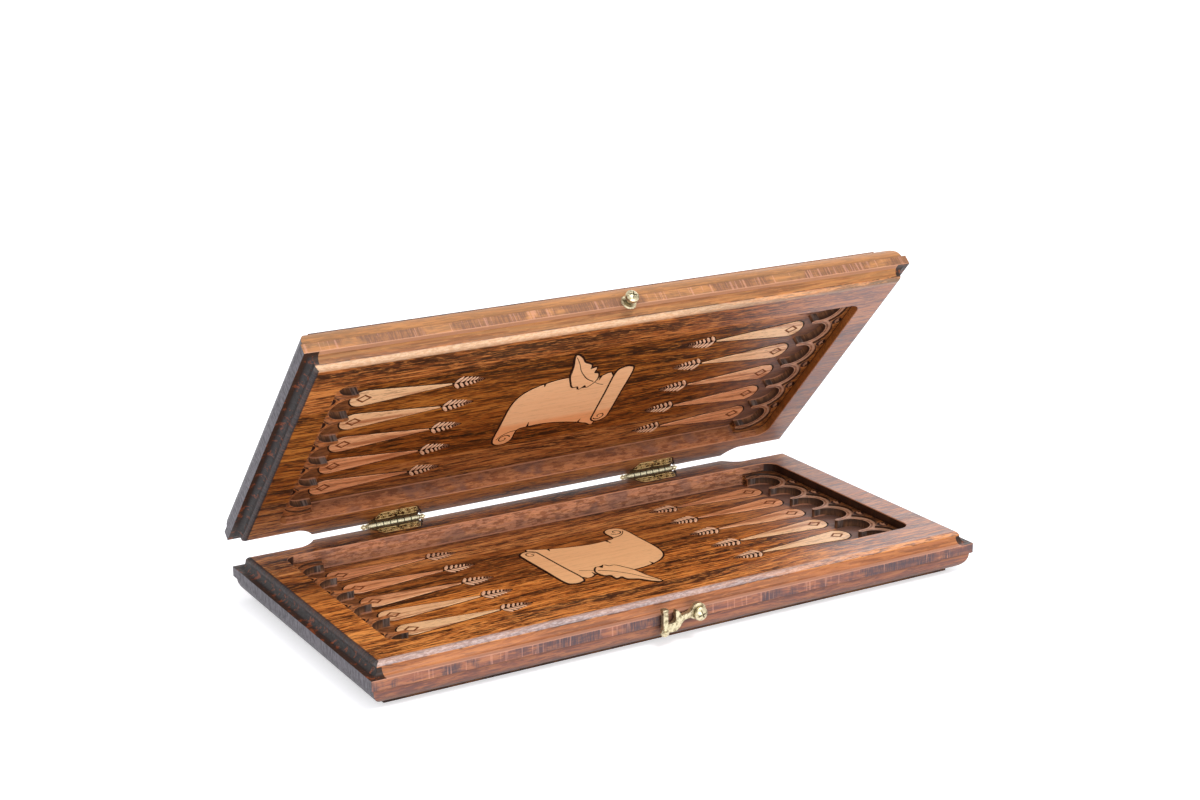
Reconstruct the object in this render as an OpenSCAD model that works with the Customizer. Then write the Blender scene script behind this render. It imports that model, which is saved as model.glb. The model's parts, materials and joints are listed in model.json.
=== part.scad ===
// Folding carved backgammon board: two edge-glued wooden trays joined by a pair of
// ball-tipped hinges along the back, and held shut by a cast hook at the front.
// Millimetres, +Z up. The origin is the centre of the lower tray's base face, +X runs
// along the hinges and -Y is the front with the hook.

/* [Trays] */
// Length of each tray, along the hinges
tray_l = 500; // [420:5:560]
// Width of each tray, from the front to the hinges
tray_w = 250; // [240:5:300]
// Gap between the two rims when the board is closed
rim_gap = 0.3; // [0.3:0.1:1]
// Angle that the upper tray stands open in the modelled pose
open_angle = 47; // [30:1:120]

/* [Edge moulding] */
// Radius of the round between the rim and the cove
round_r = 3.6; // [2:0.2:4.4]
// Radius of the cove above the fascia
cove_r = 5; // [3:0.25:6]
// Flat on top of the fascia, outside the cove
cove_flat = 2.5; // [1:0.25:4]
// Height of the flat fascia that the hook and the stud are screwed to
fascia_h = 7.6; // [6:0.2:12]
// Height of the narrow fillet under the fascia
fillet_h = 1.2; // [0.8:0.1:2]
// How far the fillet steps in from the fascia
fillet_in = 2; // [1:0.25:3]
// Radius of the ovolo under the fillet
ovolo_r = 12; // [9:0.5:13]
// Height of the raised panel on the outer face
panel_h = 3; // [2:0.25:5]
// Step between the ovolo and the raised panel
panel_step = 0.3; // [0.2:0.1:3]

/* [Recess] */
// Rim width at each end
end_rim = 31; // [27:1:45]
// Rim width along the front
front_rim = 36; // [30:1:38]
// Rim width along the hinged back
back_rim = 24; // [22:1:28]
// Corner radius of the recess
recess_r = 10; // [6:0.5:16]
// Depth of the terraces at the two ends, below the rim
terrace_depth = 7; // [5:0.5:9]
// Width of each terrace, from the end wall to the playing field
terrace_w = 29; // [27:0.5:32]
// Depth of the playing field and of the seats, below the rim
field_depth = 15; // [12:0.5:18]
// Radius of the two back corners of the playing field
corner_r = 4; // [2:0.5:6]

/* [Points] */
// How far the round end of each point reaches into the mouth of its seat
point_in = 3; // [0:0.5:4]
// Length of each point, from its round end to its tip
point_l = 80; // [60:1:90]
// Width of a point at its round end
point_w = 20; // [14:0.5:22]
// Width of a point's tip
point_tip_w = 1.8; // [1:0.1:3]
// Width of the cut round each point
point_cut_w = 1.2; // [0.8:0.1:2]
// Depth of the cut round each point
point_cut_h = 0.7; // [0.4:0.1:1.2]

/* [Stone seats] */
// Distance between neighbouring rows of points and seats
row_pitch = 30.7; // [30.2:0.1:31]
// How far the middle of the six rows lies behind the middle of the tray
row_back = 3.3; // [2.5:0.1:4.5]
// Radius of each seat, scooped to the field level
seat_r = 13.2; // [12:0.1:13.6]
// Radius of the shallow ring round each seat
ring_r = 18.2; // [16.5:0.1:18.6]
// Depth of the shallow ring below the terrace
ring_depth = 1.6; // [0.8:0.1:2.5]
// Distance from the end wall of the recess to the seat centres
seat_inset = 21.2; // [20.5:0.1:22]
// Width of the mouth through which a seat opens to the field
mouth_w = 26.2; // [24:0.1:26.2]
// How far the round noses of the piers between the mouths lie behind the terrace's edge
nose_in = 2; // [0:0.5:4]

/* [Back rail] */
// Distance from each end of the tray to the corner where the run-out of the rail begins
stop_in = 65; // [50:1:80]
// Length of the run-out arc along the rail
stop_run = 20; // [16:1:30]
// How far the run-out arc dips below the line of the rim
stop_over = 0.3; // [0.2:0.1:1]

/* [Hinges] */
// Distance of each hinge from the middle of the board
hinge_x = 116; // [80:1:140]
// Distance of the hinge axis behind the trays
axis_back = 4.8; // [4:0.1:8]
// Length of the barrel between the ball tips
barrel_l = 41; // [34:0.5:50]
// Radius of the knuckles
knuckle_r = 2.3; // [2:0.1:3]
// Radius of the hinge pin
pin_r = 1.1; // [0.8:0.05:1.2]
// Running clearance of the pin in its knuckles, on the radius
pin_fit = 0.05; // [0.02:0.01:0.1]
// Gap between neighbouring knuckles
knuckle_gap = 0.3; // [0.3:0.05:0.6]
// Thickness of the leaves
leaf_t = 1.2; // [1:0.1:1.8]
// How far the face of a leaf lies below the rim, which leaves room for its embossing
leaf_sink = 0.6; // [0:0.1:0.8]
// How far a leaf reaches in from the back edge of its tray
leaf_depth = 14; // [12:0.5:18]
// Width of a leaf along its outer edge
leaf_edge_w = 33; // [30:0.5:38]
// Radius of a leaf's rounded outer corners
leaf_corner_r = 3; // [1:0.25:5]
// Gap between a leaf and the sides of its mortise
leaf_fit = 0.8; // [0.3:0.05:1.2]
// Radius of the ball at each hinge tip
tip_ball_r = 2.1; // [1.8:0.1:3]
// How far the pin reaches into each tip
tip_grip = 2; // [1.5:0.1:2.2]

/* [Leaf nails] */
// Radius of a nail's shank
nail_r = 0.7; // [0.5:0.05:0.9]
// Radius of a nail's sunk head
nail_head_r = 1.5; // [1.2:0.1:1.8]
// Depth of a nail's sunk head
nail_head_h = 0.7; // [0.5:0.1:0.8]
// Length of a nail
nail_l = 10; // [8:0.5:14]
// Distance between the nails of a leaf
nail_pitch = 12; // [10:0.5:13.5]
// Gap round the nails, on the radius
nail_fit = 0.03; // [0.02:0.01:0.06]

/* [Hook and stud] */
// Height of the hook's pivot and of the stud above the middle of the fascia
latch_up = 1.2; // [0:0.1:1.4]
// Thickness of the cast hook
hook_t = 4; // [3:0.1:5]
// Gap on each face of the hook's eye
hook_gap = 0.1; // [0.05:0.05:0.3]
// Outer radius of the eye that turns on the screw
eye_r = 5.4; // [5:0.1:6.5]
// Radius of the crook that swells over the top of the eye
crook_r = 5.8; // [5:0.1:6.5]
// Radius of the screw shanks
screw_r = 2.2; // [1.8:0.1:2.5]
// Running clearance of the hook on its screw, on the radius
screw_fit = 0.07; // [0.02:0.01:0.1]
// Length of the screws in the wood
screw_l = 18; // [14:0.5:24]
// Radius of the domed screw heads
screw_head_r = 5; // [4:0.1:6]
// Height of the straight side of a screw head
head_side = 2.2; // [1:0.1:3]
// Height of the dome on a screw head
head_dome = 2.2; // [1:0.1:2.5]
// Width of the cross slot in a screw head
slot_w = 1.1; // [0.8:0.1:1.6]
// Radius of the washer under the hook and of the one under the stud's neck
washer_r = 6; // [5:0.1:7]
// Thickness of the washer under the hook
washer_t = 1.4; // [1:0.1:2]
// Radius of the stud's neck, which the hook grips
neck_r = 2.4; // [2.2:0.1:2.8]
// Gap between the neck and each side of the hook's mouth
mouth_gap = 0.9; // [0.3:0.1:1.2]
// Free space between the hook and the stud's washer, and between it and the stud's head
stud_gap = 0.3; // [0.3:0.05:0.6]
// Width of the hook's outer post
post_w = 3.8; // [3:0.2:6]
// Height of the post above the pivot's level
post_h = 7; // [5:0.25:9]
// Width of the hook's inner finger
finger_w = 2.8; // [2:0.1:3]
// Height of the finger above the pivot's level
finger_h = 5.6; // [4:0.2:7]
// Radius of the ball on the post's foot
foot_r = 3.3; // [2.5:0.1:3.5]
// Width of the hook's curved arm
arm_w = 5; // [4:0.25:7]
// Depth of the arm's foot below the pivot
arm_drop = 9.6; // [9:0.2:11]

/* [Hidden] */
$fn = 64;
rows = 6;
knuckles = 7;
nails_per_leaf = 3;
eps = 0.01;
// Tray height, from the base panel up to the rim
tray_h = panel_h + ovolo_r + fillet_h + fascia_h + cove_r + round_r;
fascia_low = panel_h + ovolo_r + fillet_h;
fascia_top = fascia_low + fascia_h;
latch_z = (fascia_low + fascia_top) / 2 + latch_up;
curl_z = fascia_top + cove_r;
rim_in = cove_flat + cove_r + round_r;
half_l = tray_l / 2;
half_w = tray_w / 2;
// Recess and its terraces
recess_x = half_l - end_rim;
recess_front = front_rim - half_w;
recess_back = half_w - back_rim;
terrace_z = tray_h - terrace_depth;
field_z = tray_h - field_depth;
field_x = recess_x - terrace_w;
seat_x = recess_x - seat_inset;
ledge_z = terrace_z - ring_depth;
nose_r = (row_pitch - mouth_w) / 2 + 0.1;
nose_x = field_x + nose_in + nose_r;
// Run-out of the back rail: one hollow arc from its corner down to the line of the rim
stop_rise = rim_in + stop_over;
stop_r = (stop_run * stop_run + stop_rise * stop_rise) / (2 * stop_rise);
stop_x = half_l - stop_in + stop_run;
// Hinge axis, half-way between the two rims
axis_y = half_w + axis_back;
axis_z = tray_h + rim_gap / 2;
knuckle_pitch = (barrel_l + knuckle_gap) / knuckles;
leaf_y = half_w - leaf_depth;
leaf_z = tray_h - leaf_sink - leaf_t;
nail_y = leaf_y + leaf_depth * 0.42;
tip_ring_l = 1;
tip_groove_l = 0.7;
tip_neck_l = 0.5;
tip_bead_l = 0.5;
tip_flat_l = tip_ring_l + tip_groove_l + tip_ring_l / 2 + tip_neck_l;
// Latch planes, counted outwards from the front face of the trays
hook_back = washer_t + hook_gap;
hook_front = hook_back + hook_t;
head_seat = hook_front + hook_gap;
stud_washer_t = hook_back - stud_gap;
stud_seat = hook_front + stud_gap;
// Distance from the hook's pivot to the stud when the board is closed
reach = 2 * (tray_h - latch_z) + rim_gap;
slot_half = neck_r + mouth_gap;
slot_floor = -(neck_r + mouth_gap);
wood_brown = [0.45, 0.26, 0.14];
wood_light = [0.58, 0.36, 0.2];
wood_dark = [0.36, 0.2, 0.11];
old_brass = [0.5, 0.42, 0.22];
pale_brass = [0.78, 0.73, 0.5];

function row_y(row) = row_back + (row - (rows - 1) / 2) * row_pitch;

// Section of the moulded edge, centred on the tray, with its half width given
module edge_section(half) {
    panel_half = half - fillet_in - ovolo_r - panel_step;
    ovolo_x = half - fillet_in - ovolo_r;
    translate([-panel_half, 0]) square([2 * panel_half, tray_h]);
    translate([-ovolo_x, panel_h]) square([2 * ovolo_x, tray_h - panel_h]);
    for (side = [-1, 1])
        translate([side * ovolo_x, panel_h + ovolo_r]) circle(r = ovolo_r);
    translate([fillet_in - half, panel_h + ovolo_r])
        square([2 * (half - fillet_in), fillet_h + 1]);
    difference() {
        translate([-half, fascia_low]) square([2 * half, curl_z - fascia_low]);
        for (side = [-1, 1]) {
            translate([side * (half - cove_flat), curl_z]) circle(r = cove_r);
            translate([side * (half - cove_flat / 2 + 1), curl_z])
                square([cove_flat + 2, 2 * cove_r], center = true);
        }
    }
    rim_half = half - rim_in;
    translate([-rim_half, fascia_low]) square([2 * rim_half, tray_h - fascia_low]);
    for (side = [-1, 1])
        translate([side * rim_half, curl_z]) circle(r = round_r);
}

// Tray blank: the moulding mitres round all four sides
module moulded_blank() {
    intersection() {
        rotate([90, 0, 0])
            linear_extrude(height = tray_w, center = true) edge_section(half_l);
        rotate([90, 0, 90])
            linear_extrude(height = tray_l, center = true) edge_section(half_w);
    }
}

// Plan of the back rail, with a run-out arc at both ends
module rail_plan() {
    low_y = half_w - rim_in - round_r;
    difference() {
        translate([-stop_x, low_y]) square([2 * stop_x, half_w - low_y]);
        for (side = [-1, 1])
            translate([side * stop_x, half_w - stop_rise + stop_r]) circle(r = stop_r);
    }
}

module recess_plan() {
    mid_y = (recess_front + recess_back) / 2;
    inner_x = recess_x - recess_r;
    inner_y = (recess_back - recess_front) / 2 - recess_r;
    translate([0, mid_y]) {
        square([2 * recess_x, 2 * inner_y], center = true);
        square([2 * inner_x, 2 * (inner_y + recess_r)], center = true);
        for (sx = [-1, 1], sy = [-1, 1])
            translate([sx * inner_x, sy * inner_y]) circle(r = recess_r);
    }
}

// Plan of the point at +X of the row along the X axis, grown by the given amount
module point_plan(grow) {
    end_r = point_w / 2;
    tip_r = point_tip_w / 2;
    end_x = field_x + point_in - end_r;
    tip_x = field_x + point_in - point_l + tip_r;
    overlap = 0.98;
    translate([end_x, 0]) circle(r = end_r + grow);
    translate([tip_x, 0]) circle(r = tip_r + grow);
    polygon([
        [end_x, -(end_r + grow) * overlap], [end_x, (end_r + grow) * overlap],
        [tip_x, (tip_r + grow) * overlap], [tip_x, -(tip_r + grow) * overlap]
    ]);
}

// Cuts round the points of one end
module point_cuts(side) {
    for (row = [0 : rows - 1])
        translate([0, row_y(row), field_z - point_cut_h]) rotate([0, 0, side > 0 ? 0 : 180])
            linear_extrude(height = point_cut_h + 1) difference() {
                point_plan(point_cut_w);
                point_plan(0);
            }
}

// Plan of the playing field, with rounded back corners
module field_plan() {
    straight = recess_back - recess_front - corner_r;
    translate([-field_x, recess_front]) square([2 * field_x, straight]);
    translate([corner_r - field_x, recess_front])
        square([2 * (field_x - corner_r), straight + corner_r]);
    for (side = [-1, 1])
        translate([side * (field_x - corner_r), recess_back - corner_r]) circle(r = corner_r);
}

// Plan of the ledge that runs round the seats of one end
module ledge_plan(side) {
    intersection() {
        union() for (row = [0 : rows - 1])
            translate([side * seat_x, row_y(row)]) circle(r = ring_r);
        recess_plan();
    }
}

// Seats of one end, each a round scoop with a wide mouth to the field
module seats(side) {
    for (row = [0 : rows - 1]) translate([side * seat_x, row_y(row), 0]) {
        translate([0, 0, field_z]) cylinder(r = seat_r, h = field_depth + 1);
        translate([-side * (seat_x - field_x + 1) / 2, 0, field_z + field_depth / 2])
            cube([seat_x - field_x + 1, mouth_w, field_depth], center = true);
    }
    translate([side * (field_x - 1 + nose_x) / 2, row_y((rows - 1) / 2),
               field_z + field_depth / 2])
        cube([nose_x - field_x + 1, (rows - 1) * row_pitch, field_depth], center = true);
    translate([0, 0, ledge_z]) linear_extrude(height = ring_depth + 1) ledge_plan(side);
}

// Round noses of the piers that stand between the mouths
module noses(side) {
    for (row = [0 : rows - 2])
        translate([side * nose_x, row_y(row + 0.5), field_z - 1])
            cylinder(r = nose_r, h = ledge_z - field_z + 1);
}

module recess() {
    translate([0, 0, terrace_z])
        linear_extrude(height = terrace_depth + 1) recess_plan();
    translate([0, 0, field_z]) linear_extrude(height = field_depth) field_plan();
    for (side = [-1, 1]) {
        seats(side);
        point_cuts(side);
    }
}

// Plan of a hinge leaf from its rounded outer edge back to the given line
module leaf_plan(grow, back_y) {
    edge_half = leaf_edge_w / 2 - leaf_corner_r;
    corner_y = leaf_y + leaf_corner_r;
    polygon([
        [-barrel_l / 2 - grow, back_y], [-barrel_l / 2 - grow, half_w - axis_back],
        [-edge_half - leaf_corner_r - grow, corner_y],
        [edge_half + leaf_corner_r + grow, corner_y],
        [barrel_l / 2 + grow, half_w - axis_back], [barrel_l / 2 + grow, back_y]
    ]);
    translate([-edge_half, leaf_y - grow])
        square([2 * edge_half, leaf_corner_r + 2 * grow]);
    for (side = [-1, 1])
        translate([side * edge_half, corner_y]) circle(r = leaf_corner_r + grow);
}

module nail_places() {
    for (k = [0 : nails_per_leaf - 1])
        translate([(k - (nails_per_leaf - 1) / 2) * nail_pitch, nail_y, leaf_z + leaf_t])
            children();
}

module nail(grow) {
    translate([0, 0, -nail_l - grow]) cylinder(r = nail_r + grow, h = nail_l + grow);
    translate([0, 0, -nail_head_h])
        cylinder(r1 = nail_r + grow, r2 = nail_head_r + grow, h = nail_head_h);
}

module hinge_places() {
    for (side = [-1, 1]) translate([side * hinge_x, 0, 0]) children();
}

// Whole tray with every cut, as it lies at the bottom
module tray() {
    for (side = [-1, 1]) noses(side);
    difference() {
        union() {
            moulded_blank();
            translate([0, 0, fascia_low])
                linear_extrude(height = tray_h - fascia_low) rail_plan();
        }
        recess();
        hinge_places() {
            translate([0, 0, leaf_z])
                linear_extrude(height = tray_h - leaf_z + 1) leaf_plan(leaf_fit, axis_y);
            nail_places() nail(nail_fit);
        }
        translate([0, -half_w, latch_z])
            rotate([-90, 0, 0]) cylinder(r = screw_r + screw_fit, h = screw_l + 1);
    }
}

// Glue lines between the four staves, each half-way between two rows
joint_y = [-half_w - 1, row_y(0.5), row_y(2.5), row_y(4.5), half_w + 1];

module stave(index, tint) {
    color(tint) intersection() {
        tray();
        translate([-half_l - 1, joint_y[index], -1])
            cube([tray_l + 2, joint_y[index + 1] - joint_y[index], tray_h + 2]);
    }
}

// Turns what is drawn in the lower tray's place into the upper tray's open place
module as_upper() {
    translate([0, axis_y, axis_z]) rotate([-open_angle, 0, 0])
        translate([0, -axis_y, -axis_z]) translate([0, 0, 2 * axis_z])
            mirror([0, 0, 1]) children();
}

// Cylinder along the hinge axis from x to x + length
module along_axis(x, length, radius) {
    translate([x, axis_y, axis_z]) rotate([0, 90, 0]) cylinder(r = radius, h = length);
}

// Leaf with every second knuckle, counted from the given one, in the lower tray's place
module leaf(first_knuckle) {
    knuckle_l = knuckle_pitch - knuckle_gap;
    color(old_brass) difference() {
        union() {
            translate([0, 0, leaf_z])
                linear_extrude(height = leaf_t) leaf_plan(0, axis_y - pin_r);
            for (k = [first_knuckle : 2 : knuckles - 1])
                along_axis(k * knuckle_pitch - barrel_l / 2, knuckle_l, knuckle_r);
        }
        for (k = [1 - first_knuckle : 2 : knuckles - 1])
            along_axis(k * knuckle_pitch - barrel_l / 2 - knuckle_gap,
                knuckle_l + 2 * knuckle_gap, knuckle_r + knuckle_gap);
        along_axis(-barrel_l / 2 - 1, barrel_l + 2, pin_r + pin_fit);
        nail_places() nail(nail_fit);
    }
}

module hinge_pin() {
    color(old_brass)
        along_axis(-barrel_l / 2 - tip_grip, barrel_l + 2 * tip_grip, pin_r);
}

// Ball tip that stands on +X with its base at the end of the barrel
module hinge_tip() {
    ball_x = tip_flat_l + tip_ball_r * 0.86;
    start = barrel_l / 2;
    color(old_brass) difference() {
        union() {
            along_axis(start, tip_ring_l, knuckle_r);
            along_axis(start, tip_ring_l + tip_groove_l, knuckle_r * 0.7);
            along_axis(start + tip_ring_l + tip_groove_l, tip_ring_l / 2, knuckle_r * 0.9);
            along_axis(start, ball_x, knuckle_r * 0.62);
            translate([start + ball_x, axis_y, axis_z]) sphere(r = tip_ball_r);
            along_axis(start + ball_x, tip_ball_r + tip_bead_l, tip_ball_r * 0.34);
        }
        along_axis(start - 1, tip_grip + 1 + pin_fit, pin_r + nail_fit);
    }
}

// Domed screw with a cross slot: its head sits at the given distance off the front face
module front_screw(seat, shank) {
    dome_r = (screw_head_r * screw_head_r + head_dome * head_dome) / (2 * head_dome);
    top = seat + head_side + head_dome;
    color(pale_brass) translate([0, -half_w, latch_z]) rotate([90, 0, 0])
        difference() {
            union() {
                translate([0, 0, -screw_l]) cylinder(r = screw_r, h = screw_l + seat + eps);
                translate([0, 0, seat - shank[1]]) cylinder(r = shank[0], h = shank[1] + eps);
                intersection() {
                    translate([0, 0, seat])
                        cylinder(r = screw_head_r, h = head_side + head_dome);
                    translate([0, 0, top - dome_r]) sphere(r = dome_r);
                }
            }
            for (turn = [20, 110]) rotate([0, 0, turn])
                translate([0, 0, top]) cube([2 * screw_head_r, slot_w, head_dome], center = true);
        }
}

module washer(thickness) {
    color(pale_brass) translate([0, -half_w, latch_z]) rotate([90, 0, 0])
        difference() {
            cylinder(r1 = washer_r, r2 = washer_r - thickness / 2, h = thickness);
            translate([0, 0, -1])
                cylinder(r = screw_r + screw_fit, h = thickness + 2);
        }
}

// Outline of the hook with its pivot at the origin, pointing left, the mouth upwards
module hook_plan() {
    post_x = -reach - slot_half - post_w;
    finger_x = -reach + slot_half;
    finger_tip = [finger_x + finger_w / 2 - 0.3, finger_h - finger_w / 2];
    waist_x = finger_x / 2;
    hollow_r = 7;
    difference() {
        union() {
            circle(r = eye_r);
            translate([-0.6, crook_r - 4]) circle(r = crook_r);
            polygon([
                [post_x, -arm_drop], [finger_x, -arm_drop], [waist_x - 3, 1 - arm_w],
                [waist_x, -arm_w / 2], [0, -eye_r + 1], [-1, 2 * crook_r - 4],
                [-5, crook_r + 0.8], [waist_x, arm_w / 2], [finger_x + finger_w, 0],
                [finger_x, -1], [-reach, slot_floor], [post_x, slot_floor]
            ]);
            translate([post_x, -arm_drop]) square([post_w, post_h + arm_drop]);
            translate(finger_tip) circle(r = finger_w / 2);
            polygon([
                finger_tip + [-finger_w / 2, 0], [finger_x, -2],
                [finger_x + 2 * finger_w, 0], finger_tip + [finger_w / 2, 0]
            ]);
        }
        translate([waist_x - 1.5, arm_w / 2 + hollow_r - 1]) circle(r = hollow_r);
        translate([waist_x + 0.5, 0.5 - arm_w / 2 - hollow_r]) circle(r = hollow_r);
        translate([-reach, 0]) circle(r = slot_half);
        translate([-reach - slot_half, 0]) square([2 * slot_half - 0.4, post_h + 1]);
    }
}

module latch_hook_body() {
    post_mid = -reach - slot_half - post_w / 2;
    color(pale_brass) translate([0, -half_w, latch_z]) rotate([90, 0, 0])
        difference() {
            union() {
                translate([0, 0, hook_back]) linear_extrude(height = hook_t) hook_plan();
                translate([post_mid, -arm_drop, foot_r + stud_gap]) sphere(r = foot_r);
                translate([post_mid - post_w / 2 - 0.5, post_h - 0.5, hook_back])
                    cube([post_w + 0.5, 1.5, hook_t + 0.6]);
            }
            translate([0, 0, hook_back - 1])
                cylinder(r = screw_r + screw_fit, h = hook_t + 2);
        }
}

module lower_stave_front() { stave(0, wood_brown); }
module lower_stave_2() { stave(1, wood_light); }
module lower_stave_3() { stave(2, wood_dark); }
module lower_stave_back() { stave(3, wood_brown); }
module upper_stave_front() { as_upper() stave(0, wood_light); }
module upper_stave_2() { as_upper() stave(1, wood_brown); }
module upper_stave_3() { as_upper() stave(2, wood_brown); }
module upper_stave_back() { as_upper() stave(3, wood_light); }
module lower_leaf_left() { translate([-hinge_x, 0, 0]) leaf(0); }
module lower_leaf_right() { translate([hinge_x, 0, 0]) leaf(0); }
module upper_leaf_left() { as_upper() translate([-hinge_x, 0, 0]) leaf(1); }
module upper_leaf_right() { as_upper() translate([hinge_x, 0, 0]) leaf(1); }
module hinge_pin_left() { translate([-hinge_x, 0, 0]) hinge_pin(); }
module hinge_pin_right() { translate([hinge_x, 0, 0]) hinge_pin(); }
module hinge_tips() {
    hinge_places() {
        hinge_tip();
        mirror([1, 0, 0]) hinge_tip();
    }
}
module lower_leaf_nails() { color(old_brass) hinge_places() nail_places() nail(0); }
module upper_leaf_nails() {
    color(old_brass) as_upper() hinge_places() nail_places() nail(0);
}
module hook_washer() { washer(washer_t); }
module hook_screw() { front_screw(head_seat, [screw_r, 1]); }
module latch_hook() { latch_hook_body(); }
module stud_washer() { as_upper() washer(stud_washer_t); }
module stud_screw() {
    as_upper() front_screw(stud_seat, [neck_r, stud_seat - stud_washer_t]);
}

lower_stave_front();
lower_stave_2();
lower_stave_3();
lower_stave_back();
upper_stave_front();
upper_stave_2();
upper_stave_3();
upper_stave_back();
lower_leaf_left();
lower_leaf_right();
upper_leaf_left();
upper_leaf_right();
hinge_pin_left();
hinge_pin_right();
hinge_tips();
lower_leaf_nails();
upper_leaf_nails();
hook_washer();
hook_screw();
latch_hook();
stud_washer();
stud_screw();
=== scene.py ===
# %% [markdown]
# # A folding backgammon board in stained beech
# The construction comes in as a fixed frame: two trays of glued staves, two hinges and a hook.
# This lesson dresses it. It sets up the camera and the light, gives the wood and the brass their
# finish, lays the carved points, ears and scrolls on the playing fields, embosses the hinges and
# rounds the hook. Everything is in metres, in the frame's own axes: +X along the hinges and +Z up.

# %% Load the frame
import bpy
import bmesh
import json
import math
from mathutils import Matrix, Vector


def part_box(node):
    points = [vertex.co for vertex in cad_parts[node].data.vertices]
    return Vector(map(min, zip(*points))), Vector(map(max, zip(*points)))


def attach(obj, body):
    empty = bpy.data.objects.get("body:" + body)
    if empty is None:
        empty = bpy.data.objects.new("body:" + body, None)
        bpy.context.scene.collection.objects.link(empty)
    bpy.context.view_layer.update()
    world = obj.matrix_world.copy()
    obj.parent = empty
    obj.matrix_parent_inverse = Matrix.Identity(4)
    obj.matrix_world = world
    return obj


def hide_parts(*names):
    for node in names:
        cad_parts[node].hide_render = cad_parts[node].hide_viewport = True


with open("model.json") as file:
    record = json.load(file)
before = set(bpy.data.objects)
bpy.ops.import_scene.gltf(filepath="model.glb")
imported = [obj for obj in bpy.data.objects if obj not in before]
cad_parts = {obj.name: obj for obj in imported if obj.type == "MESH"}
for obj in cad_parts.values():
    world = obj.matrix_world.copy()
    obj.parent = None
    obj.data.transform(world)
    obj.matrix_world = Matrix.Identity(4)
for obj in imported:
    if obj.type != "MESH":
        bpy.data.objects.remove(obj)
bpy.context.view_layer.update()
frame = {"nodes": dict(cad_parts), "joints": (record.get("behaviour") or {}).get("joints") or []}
nodes = frame["nodes"]
mm = 0.001

# %% [markdown]
# ## Two places, one design
# Both trays carry the same carving. It is modelled once, where the lower tray lies, and a second
# copy is turned into the upper tray's place. Turned over about Y and swung open about the hinge,
# the copy is a pure rotation, so its faces keep pointing outwards. The sizes are read from the
# frame where it gives them, so that the carving lies on the real floor of the field.

# %% The trays' places
rim_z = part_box("lower_stave_2")[1].z
fold = next(j for j in frame["joints"] if j["name"] == "board_fold")
axis = Vector(fold["pos_m"])
open_angle = math.radians(-fold["range_deg"][0])
half_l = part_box("lower_stave_2")[1].x
half_w = -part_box("lower_stave_front")[0].y
moulding = 11.1 * mm
flat_x = half_l - moulding
flat_y = half_w - moulding
base_h = 3 * mm
fillet_z = rim_z - 16.2 * mm
fascia_z = rim_z - 8.6 * mm
cove_z = rim_z - 3.6 * mm
field_z = rim_z - 15 * mm
ledge_z = rim_z - 8.6 * mm
terrace_z = rim_z - 7 * mm
recess_x = half_l - 31 * mm
front_wall_y = 36 * mm - half_w
back_wall_y = half_w - 24 * mm
field_end_x = recess_x - 29 * mm
nose_x = field_end_x + 3.5 * mm
row_back = 3.3 * mm
row_pitch = 30.7 * mm
rows = 6
row_ys = [row_back + (row - (rows - 1) / 2) * row_pitch for row in range(rows)]
point_places = [(side, y) for side in (-1, 1) for y in row_ys]
seat_x = recess_x - 21.2 * mm
seat_r = 13.2 * mm
round_end_x = field_end_x + 3 * mm
tip_x = round_end_x - 80 * mm
end_r = 10 * mm
tip_r = 0.9 * mm
to_upper = (Matrix.Translation(axis) @ Matrix.Rotation(-open_angle, 4, "X")
            @ Matrix.Translation(-axis) @ Matrix.Translation((0, 0, 2 * axis.z))
            @ Matrix.Diagonal((-1, 1, -1, 1)))
places = {"lower": Matrix.Identity(4), "upper": to_upper}
bodies = {"lower": "lower_tray", "upper": "upper_tray"}


def add_object(name, data):
    made = bpy.data.objects.new(name, data)
    bpy.context.scene.collection.objects.link(made)
    return made


print("rim at", round(rim_z, 4), "open by", round(math.degrees(open_angle)), "degrees")

# %% [markdown]
# ## Camera
# The photograph was taken from the front left and slightly above with a long lens. The camera's
# place, heading, tilt and roll were found by fitting the corners of the board.

# %% Set the camera
camera_place = Vector((-0.772947, -1.337997, 0.596224))
heading = math.radians(29.884)
tilt = math.radians(-16.273)
roll = math.radians(-0.646)
lens_mm = 65.44
forward = Vector((math.sin(heading) * math.cos(tilt), math.cos(heading) * math.cos(tilt),
                  math.sin(tilt)))
level = Vector((math.cos(heading), -math.sin(heading), 0))
upright = level.cross(forward)
right = math.cos(roll) * level + math.sin(roll) * upright
top = -math.sin(roll) * level + math.cos(roll) * upright
camera = add_object("camera", bpy.data.cameras.new("camera"))
camera.data.lens = lens_mm
camera.data.sensor_width = 36
camera.data.clip_start = 0.05
camera.matrix_world = Matrix.Translation(camera_place) @ Matrix(
    [[right[i], top[i], -forward[i]] for i in range(3)]).to_4x4()
bpy.context.scene.camera = camera
bpy.context.scene.view_settings.view_transform = "Standard"
print("camera lens", lens_mm, "mm")

# %% [markdown]
# ## Node helpers
# A shader is a small graph. These helpers keep it readable: each call makes a node or two,
# fills their inputs with numbers or links, and hands back the socket for the next call. A
# mask is a number from 0 to 1 that says where a tone is laid. Colours are written as they look on
# screen, from 0 to 255, and turned into the linear values that the shader works with.

# %% Node helpers


def tone(red, green, blue):
    """A screen colour as linear values."""
    def linear(value):
        value /= 255
        return value / 12.92 if value <= 0.04045 else ((value + 0.055) / 1.055) ** 2.4
    return (linear(red), linear(green), linear(blue), 1)


def shade(colour, factor):
    """A screen colour, darker or lighter."""
    return tone(*[min(255, value * factor) for value in colour])


def deep(colour, factor):
    """A darker tone of the same stain: green and blue fall faster than red."""
    red, green, blue = colour
    return tone(red * factor, green * factor ** 1.2, blue * factor ** 1.5)


def golden(colour):
    """A lighter tone of the same stain: green rises most."""
    red, green, blue = colour
    return tone(min(255, red * 1.15 + 24), min(255, green * 1.27 + 22), min(255, blue * 1.28 + 22))


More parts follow.
